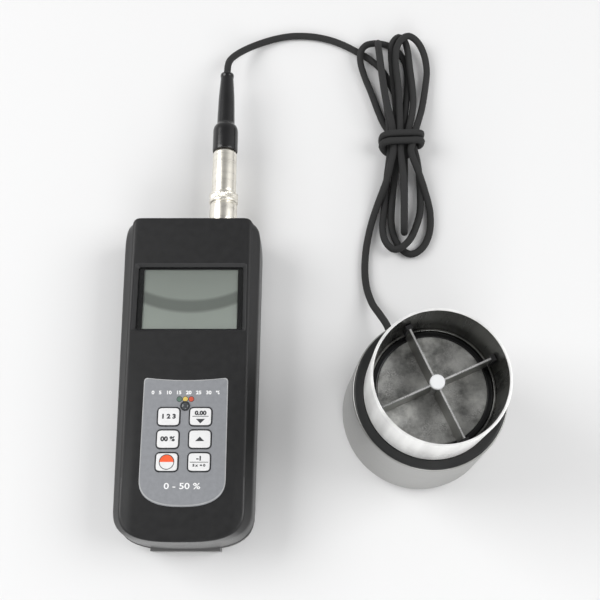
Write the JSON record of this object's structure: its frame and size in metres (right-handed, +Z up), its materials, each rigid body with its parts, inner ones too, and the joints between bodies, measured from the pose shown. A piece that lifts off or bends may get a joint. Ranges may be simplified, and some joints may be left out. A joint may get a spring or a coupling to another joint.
{
  "type": "grain moisture meter",
  "caption": "Handheld grain moisture meter: keypad handset with display, joined by a bayonet plug and a tied coaxial lead to a round measuring cup with crossed electrode vanes.",
  "frame": {"origin": "centre of the base rectangle that the handset and the cup stand on, the lead left out, at the height of the table", "axes": "+Z up, the handset lies on its back along +Y at -X with its socket towards +Y, and the cup stands at +X"},
  "size_m": [0.1844, 0.2903, 0.088],
  "materials": {
    "case_plastic": "fine spark-eroded texture",
    "panel_film": "silver grey satin",
    "key_plastic": "satin white",
    "window_acrylic": "clear",
    "mask_ink": "gloss black print",
    "lcd": "grey green display glass",
    "inner_plastic": "matt moulding",
    "lamp": "smoked",
    "circuit_board": "solder mask",
    "chip_plastic": "moulded",
    "silicone": "matt",
    "cell_label": "printed sleeve",
    "contact_metal": "nickel plate",
    "screw_steel": "zinc plate",
    "plug_nickel": "warm nickel plate",
    "gold": "gold plate",
    "white_insulator": "waxy white",
    "black_rubber": "satin",
    "lead_jacket": "satin vinyl",
    "can_steel": "satin turned",
    "sleeve_steel": "polished, knurled outside",
    "collar_plastic": "turned black acetal",
    "floor_metal": "mottled, handled",
    "vane_steel": "satin"
  },
  "bodies": {
    "instrument": {"rear_case": "case_plastic", "front_case": "case_plastic", "case_screws": "screw_steel", "main_board": "circuit_board", "board_chips": "chip_plastic", "key_switches": "inner_plastic", "display_window": "window_acrylic", "display_mask": "mask_ink", "lcd_frame": "inner_plastic", "lcd_glass": "lcd", "contact_strips": "silicone", "keypad_panel": "panel_film", "status_led": "lamp", "battery_1": "cell_label", "battery_2": "cell_label", "battery_3": "cell_label", "battery_4": "cell_label", "battery_springs": "contact_metal", "battery_plates": "contact_metal", "socket_body": "plug_nickel", "socket_insulator": "white_insulator", "socket_contact": "gold", "socket_washer": "plug_nickel", "socket_nut": "plug_nickel", "plug_barrel": "plug_nickel", "plug_insulator": "white_insulator", "plug_pin": "gold", "plug_boot": "black_rubber", "lead_to_hank": "lead_jacket", "lead_hank": "lead_jacket", "lead_to_cup": "lead_jacket", "cup_feet": "black_rubber", "base_plate": "can_steel", "base_can": "can_steel", "base_screws": "screw_steel", "board_pillars": "gold", "cup_board": "circuit_board", "cup_chips": "chip_plastic", "board_screws": "screw_steel", "cable_gland": "black_rubber", "collar_ring": "collar_plastic", "cup_sleeve": "sleeve_steel", "floor_block": "inner_plastic", "floor_disc": "floor_metal", "floor_seal": "black_rubber", "retaining_ring": "screw_steel", "temperature_sensor": "chip_plastic", "center_post": "vane_steel", "post_nut": "screw_steel", "post_cap": "white_insulator", "vanes": "vane_steel", "vane_spacers": "inner_plastic"},
    "key_select": {"key_select": "key_plastic"},
    "key_zero": {"key_zero": "key_plastic"},
    "key_read": {"key_read": "key_plastic"},
    "key_up": {"key_up": "key_plastic"},
    "key_power": {"key_power": "key_plastic"},
    "key_delete": {"key_delete": "key_plastic"},
    "battery_door": {"battery_door": "case_plastic"},
    "coupling_ring": {"coupling_ring": "plug_nickel"}
  },
  "joints": [
    {"name": "key_select_press", "type": "slide", "parent": "instrument", "child": "key_select", "axis": [0, 0, -1], "range_m": [0, 0.0004], "stiffness_N_per_m": 900},
    {"name": "key_zero_press", "type": "slide", "parent": "instrument", "child": "key_zero", "axis": [0, 0, -1], "range_m": [0, 0.0004], "stiffness_N_per_m": 900},
    {"name": "key_read_press", "type": "slide", "parent": "instrument", "child": "key_read", "axis": [0, 0, -1], "range_m": [0, 0.0004], "stiffness_N_per_m": 900},
    {"name": "key_up_press", "type": "slide", "parent": "instrument", "child": "key_up", "axis": [0, 0, -1], "range_m": [0, 0.0004], "stiffness_N_per_m": 900},
    {"name": "key_power_press", "type": "slide", "parent": "instrument", "child": "key_power", "axis": [0, 0, -1], "range_m": [0, 0.0004], "stiffness_N_per_m": 900},
    {"name": "key_delete_press", "type": "slide", "parent": "instrument", "child": "key_delete", "axis": [0, 0, -1], "range_m": [0, 0.0004], "stiffness_N_per_m": 900},
    {"name": "battery_door_slide", "type": "slide", "parent": "instrument", "child": "battery_door", "axis": [0, -1, 0], "range_m": [0, 0.06]},
    {"name": "coupling_ring_turn", "type": "hinge", "parent": "instrument", "child": "coupling_ring", "pos_m": [-0.0437, 0.0883, 0.0165], "axis": [0, 1, 0], "range_deg": [0, 90]}
  ]
}
